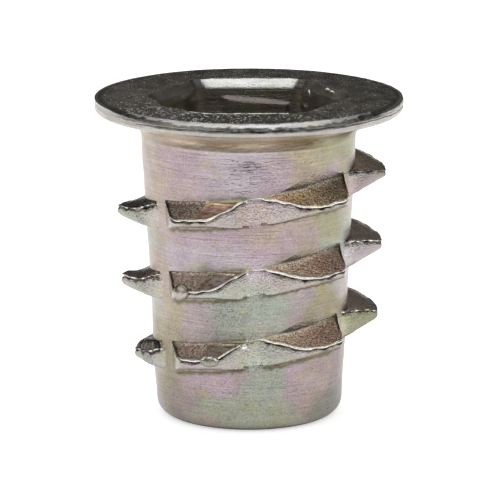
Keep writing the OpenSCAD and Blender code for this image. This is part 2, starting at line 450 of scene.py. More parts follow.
def shade_under_thread(turn, z):
    """How strongly the painted shade under each leaf of the thread shows, an olive line, at each
    angle in degrees and height: a bell curve about the leaf's lower root, on every turn."""
    line = sum(hump(z, thread_z(angle) - lower_root(angle) - 0.25, 0.12) for angle in laps(turn))
    within = turn % 180
    leaves = window(within, 38, 44, 86, 91) + window(within, 95, 99, 146, 154)
    return np.minimum(line, 1) * leaves


def shade_over_thread(turn, z):
    """How strongly the painted shade over the outer part of each first leaf shows, a dark line:
    a bell curve about the leaf's upper root, on every turn."""
    line = sum(hump(z, thread_z(angle) + 0.98, 0.13) for angle in laps(turn))
    return 0.8 * line * window(turn % 180, 64, 68, 86, 92)


def rim_grey_and_painted_light(points, film):
    """The rim's grey film with painted light on it: a painted highlight along the edge in front,
    wide in the middle and thin towards the sides, broken painted dark reflections under it, and
    a painted dark edge over pale grey at either side."""
    _, turn, z = (value[..., None] for value in polar(points))
    off = off_front(turn)
    film = mix(film, np.array(GREY) * 1.05, smooth(z, 18.40, 18.44))
    thin = smooth(off + 7 * (turn < 270), 28, 48)
    # painted dark reflections in broken patches under the rim's edge, mostly in front
    dark_reflections = hump(turn, 276, 20) + hump(turn, 221, 11) + hump(turn, 322, 13)
    spots = smooth(ripple(points, 0.45, 40, 26), -0.6, 0.9)[..., None]
    reflected_dark = np.clip(0.25 + dark_reflections, 0, 1) * smooth(off, 60, 54) * (1 - 0.55 * spots)
    film = mix(film, 0.07, reflected_dark * smooth(z - 0.17 * thin, 18.27, 18.46))
    # painted highlight along the rim's edge, wide in front
    edge_z = 18.652 + 0.026 * ripple(points, 0.6, 40, 22)[..., None] + 0.13 * thin
    ends = smooth(off, 45, 54) * np.maximum(1 - 1.4 * spots, smooth(off, 53, 60))
    film = mix(film, RIM_HIGHLIGHT, smooth(z, edge_z - 0.02, edge_z + 0.02) * (1 - ends))
    # painted dark edge at either side
    side_z = 18.62 + 0.11 * smooth(off, 56, 70)
    side = smooth(off, 52, 57) * smooth(z, side_z - 0.02, side_z + 0.02)
    return mix(film, 0.09 + 0.09 * spots, side)


def socket_painted_light(film, r, turn, z, blotch):
    """The socket's painted light: walls darkened as painted shade, paler at the sides, pink on
    the swelling of the rear flat, partly a painted reflection, and a bevel with a painted
    highlight at the rear and in front, blotched and darker at the sides."""
    inside = smooth(r, 5.95, 5.85) * smooth(z, 13.0, 13.5)
    rear = np.abs(turn - REAR)
    # painted shade in the socket: the walls darkened, less so at the sides
    dark = (1 + 0.7 * smooth(rear, 26, 34) * blotch) * SOCKET_SHADE
    film = mix(film, dark, inside)
    # pink on the swelling, partly a painted reflection
    below = swelling_edge(turn) - z
    pink = smooth(rear, 29, 26) * window(below, -0.04, 0.04, 0.5, 0.7)
    film = mix(film, SOCKET_PINK, pink * inside)
    # the bevel: painted shade at its sides, darkest next to the rear flat, and a painted
    # highlight at the rear and in front
    bevel = inside * smooth(z, 18.25, 18.33)
    sides = blotch * BEVEL_GREY * (0.35 + 0.65 * smooth(rear, 34, 40))
    film = mix(film, sides, bevel)
    bright = smooth(29.0 + 2.4 * (z - 18.5) - rear, 0, 1) + smooth(off_front(turn), 34, 26)
    return mix(film, BEVEL_HIGHLIGHT, bright * bevel)


def body_film(points):
    """Film over the whole casting, laid on in order: patches on the barrel, painted shade in the
    neck down to where the turning stops, bronze in front, painted shade along the thread's
    roots, grey on the flange with a painted highlight and painted shade on its rim and face, a
    painted highlight on the mouth's front lip, and the socket's painted shade and highlights."""
    r, turn, z = (value[..., None] for value in polar(points))
    film = film_colour(points)
    # Painted shade under the flange: the neck's film is dimmed all round and turned bronze in
    # front, and that bronze is lightened up the flange's cone as painted light
    pale = film * 0.80 * (1.0, 1.02, 0.87)
    streaks = ripple(points * (0.12, 0.12, 1.0), 0.11, 30, 21)[..., None]
    bronze = np.array(NECK_SHADE_BRONZE) * (1 + 0.13 * streaks) * (0.80 + 3.5 * smooth(z, 16.86, 17.46))
    neck = smooth(z, TURNED_TOP - 0.03, TURNED_TOP + 0.01) * smooth(r, 5.9, 6.0)
    film = mix(film, mix(pale, bronze, window(turn, 212, 238, 296, 318)), neck)
    # painted shade: an olive line under each leaf's lower root
    wavy_z = z + 0.03 * ripple(points, 0.5, 30, 27)[..., None]
    film = mix(film, OLIVE_ROOT_SHADE, shade_under_thread(turn, wavy_z))
    # painted shade: a dark line over the first leaf's upper root
    film = mix(film, DARK_ROOT_SHADE, shade_over_thread(turn, z))
    film = mix(film, np.array(GREY) * 1.12, smooth(z, 18.03, 18.10) * smooth(r, 6.2, 6.6))
    film = rim_grey_and_painted_light(points, film)
    blotch = 1 + 0.22 * ripple(points, 1.6, 30, 23)[..., None]
    # Painted shade on the flange's face: its grey is darker than the rim's, and darker still in
    # front and towards the right; the blotches are its own
    shade = blotch * (1 - 0.16 * smooth(turn, 290, 330)) * (1 - 0.20 * hump(turn, 262, 34))
    face = smooth(r, 8.54, 8.50) * smooth(z, 18.6, 18.7)
    film = mix(film, shade * FACE_GREY, face)
    # painted highlight along the front lip of the mouth
    beyond = r - hexagon_r(np.radians(turn), MOUTH_BEVEL_W)
    lip = window(beyond, 0.0, 0.03, 0.14, 0.16) * window(turn, 226, 238, 277, 287)
    film = mix(film, 0.92, lip * smooth(z, 18.7, 18.75))
    return socket_painted_light(film, r, turn, z, blotch)


def body_painted_shade(points):
    """Painted shade, from nought to one: in the rim's seam, mostly in front, and along the
    bottom edge.
    """
    r, turn, z = polar(points)
    broken = np.clip(0.6 + 0.7 * ripple(points, 0.9, 40, 9), 0, 1)
    seam = 0.5 * hump(z, SEAM_Z + 0.02, 0.05) * (r > RIM_R - 0.3) * broken
    bottom = (0.5 * hump(z, 0.0, 0.22) + 0.9 * smooth(z, 0.19, 0.11)) * (r > 4.5)
    return np.clip(seam * (0.03 + 0.80 * hump(turn, 276, 24)) + bottom, 0, 1)


def body_grain(points):
    """How open the cast grain is: coarse on the flange's face, most of all at the front left,
    and in patches round the notches of the thread."""
    r, turn, z = polar(points)
    front = 0.28 + 0.69 * hump(turn, 270, 66) + 0.48 * hump(turn, 216, 38)
    beyond = r - hexagon_r(np.radians(turn), MOUTH_BEVEL_W)
    lip = smooth(beyond, 0.19, 0.15) * smooth(np.abs(turn - 268), 36, 24)
    face = mix(0.2, front, smooth(z, 18.80, 18.84)) * (1 - 0.9 * lip)
    notches = sum(hump(z, at, 1.0) for at in (13.2, 8.9, 4.8)) * hump(turn, 273, 13)
    middle = hump(z, 7.2, 1.2) * hump(turn, 258, 22)
    lined = hump(z, 15.4, 1.5) * hump(turn, 274, 9)
    side = 0.10 + 0.6 * notches + 0.6 * middle + 0.2 * lined + 0.3 * (r < 5.7)
    return np.where(z > 18.4, face, side)


body_grid = body_points()
insert_body = closed_mesh(
    "insert_body",
    cast_skin(body_grid),
    body_film(body_grid),
    body_painted_shade(body_grid),
    body_grain(body_grid),
    caps=False,
)


def node(tree, kind, *inputs, **settings):
    """A new node of that kind. Inputs are given in order, or in_Name in the settings names
    one. Each is a value, or a socket to be linked. Other settings name its properties."""
    made = tree.nodes.new(kind)
    values = list(zip(made.inputs, inputs))
    for key, value in settings.items():
        if key.startswith("in_"):
            values.append((made.inputs[key[3:].replace("_", " ")], value))
        else:
            setattr(made, key, value)
    for socket, value in values:
        if isinstance(value, bpy.types.NodeSocket):
            tree.links.new(value, socket)
        else:
            socket.default_value = value
    return made


def new_group(name, inputs, outputs):
    """An empty shader node group with the named sockets: (kind, name, value) in, (kind, name)
    out."""
    group = bpy.data.node_groups.new(name, "ShaderNodeTree")
    for kind, label, value in inputs:
        socket = group.interface.new_socket(label, in_out="INPUT", socket_type=kind)
        socket.default_value = value
    for kind, label in outputs:
        group.interface.new_socket(label, in_out="OUTPUT", socket_type=kind)
    return group, node(group, "NodeGroupInput").outputs, node(group, "NodeGroupOutput").inputs


def blend(tree, fac, a, b, mode="MIX"):
    """Colour mix of a and b. A value may be a socket or a plain number or colour."""
    made = node(tree, "ShaderNodeMix", fac, data_type="RGBA", blend_type=mode)
    for socket, value in ((6, a), (7, b)):  # a Mix node's two colour sockets
        if isinstance(value, bpy.types.NodeSocket):
            tree.links.new(value, made.inputs[socket])
        else:
            made.inputs[socket].default_value = (*value, 1)
    return made.outputs[2]


def maths(tree, operation, *values):
    """A math node on sockets or numbers, clamped to 0 and 1 where the name ends in _CLAMP."""
    clamp = operation.endswith("_CLAMP")
    operation = operation.removesuffix("_CLAMP")
    made = node(tree, "ShaderNodeMath", *values, operation=operation, use_clamp=clamp)
    return made.outputs[0]


def noise(tree, place, scale, detail, roughness, stretch=(1.0, 1.0, 1.0)):
    """Noise, from nought to one, on the object's own coordinates stretched along the axes."""
    place = node(tree, "ShaderNodeMapping", in_Vector=place, in_Scale=stretch).outputs[0]
    values = {"in_Scale": scale, "in_Detail": detail, "in_Roughness": roughness}
    return node(tree, "ShaderNodeTexNoise", in_Vector=place, **values).outputs["Fac"]


def make_film():
    """Group: the film's colour with soft mottling towards straw and rose, and fine clouding
    in its brightness."""
    group, into, out = new_group(
        "passivation_film",
        [("NodeSocketVector", "Vector", (0, 0, 0)), ("NodeSocketColor", "Film", (1, 1, 1, 1))],
        [("NodeSocketColor", "Color")],
    )
    place, film = into["Vector"], into["Film"]
    warm = maths(group, "MULTIPLY_ADD_CLAMP", noise(group, place, 1100.0, 3.0, 0.6), 5.0, -2.5)
    cool = maths(group, "MULTIPLY_ADD_CLAMP", noise(group, place, 1400.0, 3.0, 0.6), -5.0, 2.4)
    yellowed = blend(group, 1.0, film, (1.03, 1.02, 0.84), "MULTIPLY")
    pinked = blend(group, 1.0, film, (1.0, 0.91, 0.98), "MULTIPLY")
    colour = blend(group, warm, film, yellowed)
    colour = blend(group, cool, colour, pinked)
    clouds = maths(group, "MULTIPLY_ADD", noise(group, place, 900.0, 3.0, 0.6), 0.45, 0.775)
    grit = maths(group, "MULTIPLY_ADD", noise(group, place, 9000.0, 2.0, 0.6), 0.75, 0.625)
    drawn = noise(group, place, 1.0, 3.0, 0.65, (300.0, 300.0, 8500.0))
    drawn = maths(group, "MULTIPLY_ADD", drawn, 0.55, 0.725)
    lift = maths(group, "MULTIPLY", maths(group, "MULTIPLY", clouds, grit), drawn)
    group.links.new(blend(group, 1.0, colour, lift, "MULTIPLY"), out["Color"])
    return group


def make_grain():
    """Group: cast grain. Height for a bump, Pits where the skin is open and dark, and Glints,
    the mask of painted glints where its grains stand up."""
    group, into, out = new_group(
        "cast_grain",
        [("NodeSocketVector", "Vector", (0, 0, 0)), ("NodeSocketFloat", "Open", 0.0)],
        [("NodeSocketFloat", label) for label in ("Height", "Pits", "Glints")],
    )
    fine = noise(group, into["Vector"], 10500.0, 2.0, 0.55)
    group.links.new(fine, out["Height"])
    edge = maths(group, "MULTIPLY_ADD", into["Open"], 0.16, 0.33)
    depth = maths(group, "SUBTRACT", edge, fine)
    group.links.new(maths(group, "MULTIPLY_CLAMP", depth, 6.0), out["Pits"])
    crown = maths(group, "MULTIPLY_ADD", into["Open"], 0.16, -0.72)
    above = maths(group, "ADD", fine, crown)
    group.links.new(maths(group, "MULTIPLY_CLAMP", above, 9.0), out["Glints"])
    return group


film_group = make_film()
grain_group = make_grain()
PIT_AND_SHADE_DARK = (0.045, 0.038, 0.028)
PAINTED_GLINT = (0.92, 0.90, 0.86)


def cast_metal(name, depths, roughness, glint=0.3, stretch=(1, 1, 1)):
    """Passivated cast zinc: film colours, grain with dark pits and painted glints on its tops,
    painted shade from its vertex values, and fine turned lines. The depths, in millimetres, are
    of the closed grain, of the open grain and of the lines. Glint is how strongly the painted
    glints lighten the grains' tops. Stretch draws the grain out along the axes."""
    closed_depth, open_depth, lines_depth = (depth * MM for depth in depths)
    material = bpy.data.materials.new(name)
    material.use_nodes = True
    tree = material.node_tree
    shader = tree.nodes["Principled BSDF"].inputs
    shader["Metallic"].default_value = 1.0
    place = node(tree, "ShaderNodeTexCoord").outputs["Object"]
    film = node(tree, "ShaderNodeAttribute", attribute_name="film").outputs["Color"]
    painted_shade = node(tree, "ShaderNodeAttribute", attribute_name="painted_shade").outputs["Fac"]
    opened = node(tree, "ShaderNodeAttribute", attribute_name="open_grain").outputs["Fac"]
    film = node(tree, "ShaderNodeGroup", node_tree=film_group, in_Vector=place, in_Film=film)
    grain = node(tree, "ShaderNodeGroup", node_tree=grain_group, in_Open=opened)
    drawn_out = node(tree, "ShaderNodeMapping", in_Vector=place, in_Scale=stretch)
    tree.links.new(drawn_out.outputs[0], grain.inputs["Vector"])
    height, pits, glints = grain.outputs
    # pits darken the colour, and the vertex values add painted shade
    dark = maths(tree, "MULTIPLY_ADD_CLAMP", pits, 0.7, painted_shade)
    # painted glints: the grains' tops lightened towards white and made rougher
    bright = maths(tree, "MULTIPLY", glints, glint)
    bright = maths(tree, "MULTIPLY", bright, maths(tree, "SUBTRACT", 1.0, painted_shade))
    colour = blend(tree, bright, film.outputs["Color"], PAINTED_GLINT)
    tree.links.new(blend(tree, dark, colour, PIT_AND_SHADE_DARK), shader["Base Color"])
    rough = maths(tree, "MULTIPLY_ADD", height, 0.16, roughness - 0.08)
    rough = maths(tree, "MULTIPLY_ADD", bright, 0.6, rough)
    rough = maths(tree, "MULTIPLY_ADD_CLAMP", dark, 0.25, rough)
    tree.links.new(rough, shader["Roughness"])
    depth = maths(tree, "MULTIPLY_ADD", opened, open_depth - closed_depth, closed_depth)
    bump = node(tree, "ShaderNodeBump", in_Strength=1.0, in_Distance=depth, in_Height=height)
    if lines_depth:
        lines = noise(tree, place, 1.0, 3.0, 0.6, (260.0, 260.0, 9500.0))
        values = {"in_Distance": lines_depth, "in_Strength": 1.0, "in_Height": lines}
        line_bump = node(tree, "ShaderNodeBump", **values)
        tree.links.new(line_bump.outputs["Normal"], bump.inputs["Normal"])
    tree.links.new(bump.outputs["Normal"], shader["Normal"])
    return material


turned_side = cast_metal("turned_side", (0.012, 0.085, 0.024), roughness=0.31, glint=0.35)
insert_body.data.materials.append(turned_side)
flange_face = cast_metal(
    "flange_face", (0.02, 0.85, 0.0), roughness=0.20, glint=1.0, stretch=(0.70, 0.34, 0.70)
)
insert_body.data.materials.append(flange_face)
on_face = [
    int(face.center.z > (LENGTH - 0.03) * MM and face.center.xy.length < (RIM_R - 0.5) * MM)
    for face in insert_body.data.polygons
]
insert_body.data.polygons.foreach_set("material_index", on_face)
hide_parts("insert")
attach(insert_body, "root")

# ---------------------------------------------------------------------------
# Coarse thread
# Cast with the body and broken by it: on each half turn there are two leaves with a notch
# between them, and a point stands out at each side where the mould halves meet. A burr runs
# along the upper edge of the crest, with a ragged groove under it.
# ---------------------------------------------------------------------------
LEAF_ROOT_W = 1.78
POINT_ROOT_W = 1.5
CREST_W = 0.38
LEAF_REACH = 1.8
RIGHT_POINT_REACH = 1.85
LEFT_POINT_REACH = 1.7
START_SHARE = 0.35
START_RUN = 180.0
POINT_HEAD = 20.0
LEFT_TAIL = 34.0
RIGHT_TAIL = 44.0
RIGHT_HOLD = 10.0
RIGHT_BEND = 26.0
RIGHT_BEND_REACH = 1.5
GAP = 3.4
FIRST_FALL = 73.0
NOTCH = 90.0
NOTCH_W = 5.0
SECOND_BEND = 114.0
SECOND_BEND_REACH = 1.5
SECOND_FULL = 122.0
SECOND_FALL = 136.5
FIRST_RISE = 17.5
SECOND_DROP = 16.5
ROOT_SINK = 0.35
BREAK_SINK = 0.05
STATION_STEP = 0.75
BURR_R = 0.078  # burr along the crest
GROOVE_DEPTH = 0.085
GROOVE_W = 0.095
POINT_CUT = 0.30  # how far in the lower edge of a point's blunt end is cut back
POLISH_FROM = 64.6  # angles between which the first leaf's rubbed part sets in
POLISH_FULL = 67.8
TOP_FROM = 900  # angle past which lie the uppermost point and leaves
WARM_Z = 9.5  # heights between which the film gets warmer on the way down
COOL_Z = 12.0
BROWN = (0.53, 0.46, 0.40)
COPPER = (0.78, 0.59, 0.48)
TAWNY = (0.72, 0.60, 0.47)
RUBBED = (1.0, 0.80, 0.71)
# painted shade in the hollow above the upper root
OLIVE_HOLLOW_SHADE = (0.36, 0.34, 0.26)  # film above the upper root
RIDGE_HIGHLIGHT = (0.70, 0.68, 0.50)
LEFT_GREY = (0.37, 0.375, 0.335)
LAND_GREY = (0.385, 0.370, 0.345)
BURR_HIGHLIGHT = (0.88, 0.87, 0.82)
UNDER_LEAF_SHADE = (0.23, 0.20, 0.135)


def half_turn_corners(right):
    """Angle, reach and root width at each corner of the plan, from one side point up to the
    next, which isn't counted."""
    if right:
        point = [
            (0.0, RIGHT_POINT_REACH),
            (RIGHT_HOLD, RIGHT_POINT_REACH),
            (RIGHT_BEND, RIGHT_BEND_REACH),
            (RIGHT_TAIL, -BREAK_SINK),
        ]
    else:
        point = [(0.0, LEFT_POINT_REACH), (LEFT_TAIL, -BREAK_SINK)]
    rise = point[-1][0] + GAP
    leaves = [
        (rise, -BREAK_SINK),
        (rise + FIRST_RISE, LEAF_REACH),
        (FIRST_FALL, LEAF_REACH),
        (NOTCH, -BREAK_SINK),
        (NOTCH + NOTCH_W, -BREAK_SINK),
        (SECOND_BEND, SECOND_BEND_REACH),
        (SECOND_FULL, LEAF_REACH),
        (SECOND_FALL, LEAF_REACH),
        (SECOND_FALL + SECOND_DROP, -BREAK_SINK),
    ]
    corners = [(*corner, POINT_ROOT_W) for corner in point]
    corners += [(*corner, LEAF_ROOT_W) for corner in leaves]
    return corners + [(180 - POINT_HEAD, -BREAK_SINK, POINT_ROOT_W)]


def thread_plan(angle):
    """Reach and root width at each angle. Reach is the body's own curve where both corners
    reach as far, and otherwise the straight line between them as seen from above."""
    corners = np.array(
        [
            (180.0 * half + at, reach, width)
            for half in range(2 * TURNS + 2)
            for at, reach, width in half_turn_corners(half % 2 == 0)
        ]
    )
    i = np.clip(np.searchsorted(corners[:, 0], angle, side="right") - 1, 0, len(corners) - 2)
    a0, c0, w0 = corners[i].T
    a1, c1, w1 = corners[i + 1].T
    r = body_r(thread_z(angle))
    near, far = r + c0, r + c1
    ahead = np.sin(np.radians(angle - a0))
    behind = np.sin(np.radians(a1 - angle))
    cut = near * far * np.sin(np.radians(a1 - a0)) / (near * ahead + far * behind) - r
    return np.where(np.isclose(c0, c1), c0, cut), mix(w0, w1, (angle - a0) / (a1 - a0))


def soft_plan(angle):
    """The plan with its corners rounded, as the mean over a few degrees either side, but
    sharp at the tips of the side points."""
    offsets = np.linspace(-1, 1, 9)
    spread = 3.2 + 2.6 * hump(angle % 180, 57, 9)
    every = np.array([thread_plan(np.clip(angle + d * spread, NOTCH, None)) for d in offsets])
    reach, width = np.average(every, axis=0, weights=1.3 - np.abs(offsets))
    tip = hump(angle % 180, 0.0, 2.5) + hump(angle % 180, 180.0, 2.5)
    return mix(reach, every[len(offsets) // 2][0], tip), width


def wander(angle, size, seed):
    """Smooth random line along the thread, about size millimetres to a wave."""
    return ripple(np.radians(angle)[..., None] * (7.5, 0.0, 0.0), size, 60, seed)


def mark_forms(s):
    """Which form stands at each station, from nought to one: a first or second leaf, a left
    or right point, and the steep ends of the leaves."""
    right_half = s.angle % 360 < 180
    s.shown = smooth(s.reach, -0.05, 0.05)
    s.standing = smooth(s.reach, 0.0, 0.6)
    s.lowest = smooth(s.angle, 260, 220)
    s.leaf = window(s.within, 28, 36, 150, 158)
    s.first = s.leaf * smooth(s.within, 94, 90)
    s.second = s.leaf * smooth(s.within, 90, 94)
    s.polished = s.first * smooth(s.within, POLISH_FROM, POLISH_FULL)
    s.point = 1 - s.leaf
    s.left = s.point * np.where(right_half, smooth(s.within, 150, 160), smooth(s.within, 40, 30))
    s.right = s.point - s.left
    rise = np.where(right_half, RIGHT_TAIL, LEFT_TAIL) + GAP
    rising = window(s.within, rise - 2, rise, rise + 15, rise + FIRST_RISE + 4)
    falling = s.second * smooth(s.within, SECOND_FALL + 2, SECOND_FALL + 6)
    s.steep = np.maximum(rising, falling)


def size_burr_and_groove(s):
    """Radius of the burr, thin along the leaves and broken into beads on the points, then
    depth and width of the ragged groove under it."""
    s.beads = 0.5 + 0.5 * np.clip(1.6 * wander(s.angle, 0.42, 31), -1, 1)
    burr = BURR_R * (1 + 0.28 * wander(s.angle, 0.8, 32)) * (1 - 0.75 * s.steep)
    burr = burr * (1 + 0.40 * s.second * hump(s.within, 110, 16))
    behind = s.point * smooth(np.sin(np.radians(s.angle)), 0.02, 0.15)
    beaded = burr * (0.15 + 0.6 * s.beads) * (1 - 0.8 * behind)
    burr = np.clip(np.where(s.point > 0.5, beaded, burr), 0.008, 0.09)
    s.burr = burr * s.shown * (1 - 0.6 * hump(s.within, 92, 4))
    s.groove = GROOVE_DEPTH * np.clip(1 + 0.7 * wander(s.angle, 0.5, 33), 0.15, 2.2) * s.shown
    s.groove = s.groove * (1 - 0.6 * s.left * s.lowest)
    s.groove_w = GROOVE_W * np.clip(1 + 0.45 * wander(s.angle, 0.6, 34), 0.5, 1.9)
    s.groove_w = s.groove_w * (1 + 0.7 * s.left)


def size_crest_and_root(s):
    """Height of the crest, raised at the tip of a left point and low behind it. Depth of the
    hollow above the upper root, shallow at the first leaf and deep at the second. Place of
    the ridge along that root, which crosses the first leaf's flank towards the notch."""
    taller = (0.14 + 0.08 * smooth(s.angle, 760, 640)) * (1 - s.lowest)
    taller = taller * hump(s.from_point, -1, 4.5)
    drop = 0.20 * hump(s.from_point, 13, 9) + 0.26 * s.lowest * s.shown
    crest = s.half - s.slope * s.reach + 0.015 * wander(s.angle, 0.7, 35) * s.shown
    s.crest = crest + s.left * (taller - drop)
    hollow = 0.10 + 0.62 * smooth(s.within, 101, 128) * s.second
    s.hollow = hollow * (1 - 0.8 * smooth(s.within, 136, 152) * s.second) * s.leaf
    across = 0.016 * (1 - 0.6 * smooth(s.angle, TOP_FROM, 800)) * s.first
    ridge_at = 0.04 + 0.07 * smooth(s.within, 100, 120) * s.second
    s.ridge_at = np.minimum(ridge_at + across * np.maximum(s.within - 66, 0), s.reach - 0.03)


def stations():
    """Values at each station along the thread, as columns: its angle, the angle within its
    half turn and from the nearest point, how far it reaches and how its flanks slope, then
    what stands there and how large."""
    angle = np.arange(NOTCH, NOTCH + 360 * TURNS + STATION_STEP / 2, STATION_STEP)
    reach, root_w = (value[:, None] for value in soft_plan(angle))
    s = SimpleNamespace(angle=angle[:, None], half=root_w / 2)
    s.within = s.angle % 180
    s.from_point = (s.within + 90) % 180 - 90
    growth = START_SHARE + (1 - START_SHARE) * (s.angle - NOTCH) / START_RUN
    reach = np.where(reach > 0, reach * np.minimum(1, growth), reach)
    floor = 0.015 * hump(s.within, 92.5, 6) - 0.05 * smooth(s.within, 84, 80)
    s.reach = np.maximum(reach, floor)
    s.slope = (s.half - CREST_W / 2) / RIGHT_POINT_REACH
    mark_forms(s)
    size_burr_and_groove(s)
    size_crest_and_root(s)
    return s


def upper_flank(s):
    """Distance out and height of each point up the upper flank, from the root to the burr: a
    straight slope, with a hollow at its root, a ridge along that and a sag on the leaves."""
    foot = np.array([-ROOT_SINK, -0.06, -0.03, 0.0, 0.015, 0.03, 0.05, 0.075, 0.105, 0.14, 0.19])
    rest = np.array([0.08, 0.17, 0.26, 0.35, 0.44, 0.53, 0.62, 0.71, 0.80, 0.88, 0.94, 0.98])
    outer = s.reach - 1.1 * s.burr
    near = np.minimum(foot, outer - 0.01 * np.arange(len(foot))[::-1])
    far = mix(near[:, -1:], outer, rest)
    ridge = np.clip(s.ridge_at + (-0.045, 0.0, 0.045), 0.0, outer - 0.005)
    c = np.sort(np.concatenate([near, far, ridge], axis=1), axis=1)
    share = np.clip(c / np.maximum(outer, 0.2), 0, 1)
    arch = np.sin(np.pi * share) * s.shown
    rise = np.clip(c, -0.06, None) / (0.055 + 0.020 * s.second)
    ridge_h = 0.035 * s.first * (1 + 0.3 * wander(s.angle, 0.7, 36))
    h = s.half - s.slope * c - 0.05 * s.leaf * arch
    h = h + s.hollow * np.where(rise > 0, np.exp(-rise), 1 - rise)
    h = h + ridge_h * hump(c, s.ridge_at, 0.055)
    # a left point's flank bends down to its crest where the crest lies low
    low_crest = (s.half - s.slope * s.reach - s.crest) * share ** (3 + 5 * s.lowest)
    fuller = 0.10 * s.lowest * arch + (0.15 - 0.08 * s.lowest) * (1 - share)
    h = h + s.left * (fuller - low_crest)
    return c, h + s.right * (0.09 * arch - 0.10 * (s.angle < TOP_FROM) * (1 - share))


def burr_and_groove(s):
    """Distance out and height of the points over the burr, most of a circle about the
    crest's upper edge, and of those of the groove, straight down in and out again."""
    bend = np.radians([120.0, 92.0, 64.0, 36.0, 8.0, -20.0, -48.0])
    burr_c = s.reach - 0.5 * s.burr + s.burr * np.cos(bend)
    burr_h = s.crest - 0.2 * s.burr + s.burr * np.sin(bend)
    groove_c = s.reach - s.groove * (0.55, 1.0, 0.95, 0.5, 0.12)
    down = s.groove_w * (0.12, 0.35, 0.6, 0.85, 1.05)
    return (burr_c, burr_h), (groove_c, s.crest - 0.9 * s.burr - down)


def land_and_lower_flank(s, start_h):
    """Distance out and height of the points down the blunt crest, from the groove's end to a
    rounded edge, and of those back in along the lower flank to the root."""
    cut = 0.02 + POINT_CUT * (s.point - 0.4 * s.right) * smooth(s.reach, 0.3, 1.0)
    edge_c = s.reach - cut
    deeper = 0.14 * s.right * smooth(s.angle, 1000, 700)
    lowest_h = -(lower_root(s.angle) + 2 * smooth(np.abs(s.from_point - 48), 12, 30))
    raised = (0.13 * s.leaf + 0.05 * s.second) * s.shown
    edge_h = -(s.half - s.slope * edge_c) - deeper * s.shown + raised
    edge_h = np.minimum(np.maximum(edge_h, lowest_h + 0.04), start_h - 0.02)
    down = np.linspace(0.12, 1.0, 8)
    land_c = s.reach + 0.02 * np.sin(np.pi * down) * s.shown - cut * down**2.4
    back = np.array([0.985, 0.93, 0.8, 0.6, 0.4, 0.3, 0.25, 0.22, 0.19, 0.0])
    low_c = mix(-ROOT_SINK, edge_c, back)
    lift = (s.half - lower_root(s.angle)) * s.leaf * s.shown
    lift = lift * (1 - np.clip(low_c / np.maximum(s.reach, 0.3), 0, 1))
    low_h = np.maximum(lift - (s.half - s.slope * low_c), lowest_h)
    low_h = low_h - deeper * smooth(low_c, -0.1, 0.5)
    return (land_c, mix(start_h, edge_h, down)), (low_c, low_h)


def thread_points(s, parts):
    """Points of the sections, set out from the barrel and carried along the helix. Their
    roots follow the barrel's taper and the waves of its skin."""
    c, h = (np.concatenate(values, axis=1) for values in zip(*parts))
    turn = np.radians(s.angle)
    r = body_r(thread_z(s.angle)) + c + BODY_SLOPE * h * smooth(c, 0.7, 0.1)
    points = np.stack([r * np.cos(turn), r * np.sin(turn), thread_z(s.angle) + h], axis=-1)
    points[..., :2] *= 1 + (skin_swell(points) * smooth(c, 1.4, 0.3) / r)[..., None]
    return points


def thread_painted_shade(s, parts):
    """Painted shade: in the groove, along the steep ends of a leaf and in the lower root's
    corner.
    """
    up, burr, _, land, low = (c for c, _ in parts)
    broken = np.clip(0.85 + 0.4 * wander(s.angle, 0.5, 37), 0, 1)
    shaded = [
        0.85 * s.steep * smooth(up, s.reach - 0.26, s.reach - 0.10),
        0.8 * s.steep + 0 * burr,
        s.shown * broken * (0.6, 1.0, 1.0, 0.8, 0.15),
        0 * land,
        0.25 * s.leaf * smooth(low, 1.2, 0.2),
    ]
    return np.concatenate(shaded, axis=1)


def thread_grain(s, parts, above):
    """How open the grain is: open on the upper flanks, but smooth on the first leaf beyond a
    slanting edge, and half open in the groove."""
    _, burr, groove, land, low = (c for c, _ in parts)
    scuffed = 0.18 * smooth(thread_z(s.angle), COOL_Z, WARM_Z) * s.polished
    flank = (0.85 + 0.2 * s.first) * (1 - s.polished) + 0.12 + scuffed
    flank = flank * (1 - 0.9 * s.left - 0.75 * s.right) * (1 - (0.6 + 0.4 * s.second) * above)
    pitted = smooth(s.reach, 0.1, 0.6) * (1 - hump(s.from_point, 0, 8))
    blunt = 0.15 + 0.25 * hump(s.within, 94, 9) + 0.4 * (s.point - 0.75 * s.right) * pitted
    opened = [flank, 0.15 + 0 * burr, 0.5 + 0 * groove, blunt + 0 * land, 0.2 + 0 * low]
    return np.concatenate(opened, axis=1)


def flank_film(s, points, crest_z):
    """Film on the upper flanks: brown, tawny on the second leaf and copper where the first
    is polished, all of it warmer lower down, with streaks and blotches in its brightness."""
    brown, copper, tawny = np.array([BROWN, COPPER, TAWNY])
    lower = smooth(crest_z, COOL_Z, WARM_Z)
    film = brown + (copper - brown) * s.polished + (tawny - brown) * s.second
    warm = (1.00, 0.74, 0.68) - s.second * (0.30, 0.30, 0.18)
    film = mix(film * (1 + lower * warm), RUBBED, lower * s.polished)
    film = film * (1 - 0.36 * smooth(s.within, 120, 134) * s.second)
    rosy = (1 - 0.7 * lower) * hump(s.within, 104, 9)
    film = film * (1 + rosy * (0.20, 0.0, -0.05))
    hue = (0.22, 0.15, 0.08) - lower * (0.46, 0.33, 0.22)
    film = film * (1 + s.right * hue)
    streaks = ripple(points * (0.10, 0.6, 1.0), 0.14, 40, 24)
    blotch = ripple(points, 0.26, 40, 25)
    mark = 1 + (0.36 + 0.26 * lower) * s.polished * streaks
    mark = mark + (0.15 - 0.09 * s.second - 0.11 * s.right) * (1 - s.polished) * blotch
    return film[:, None] * np.clip(mark, 0.5, 1.6)[..., None]


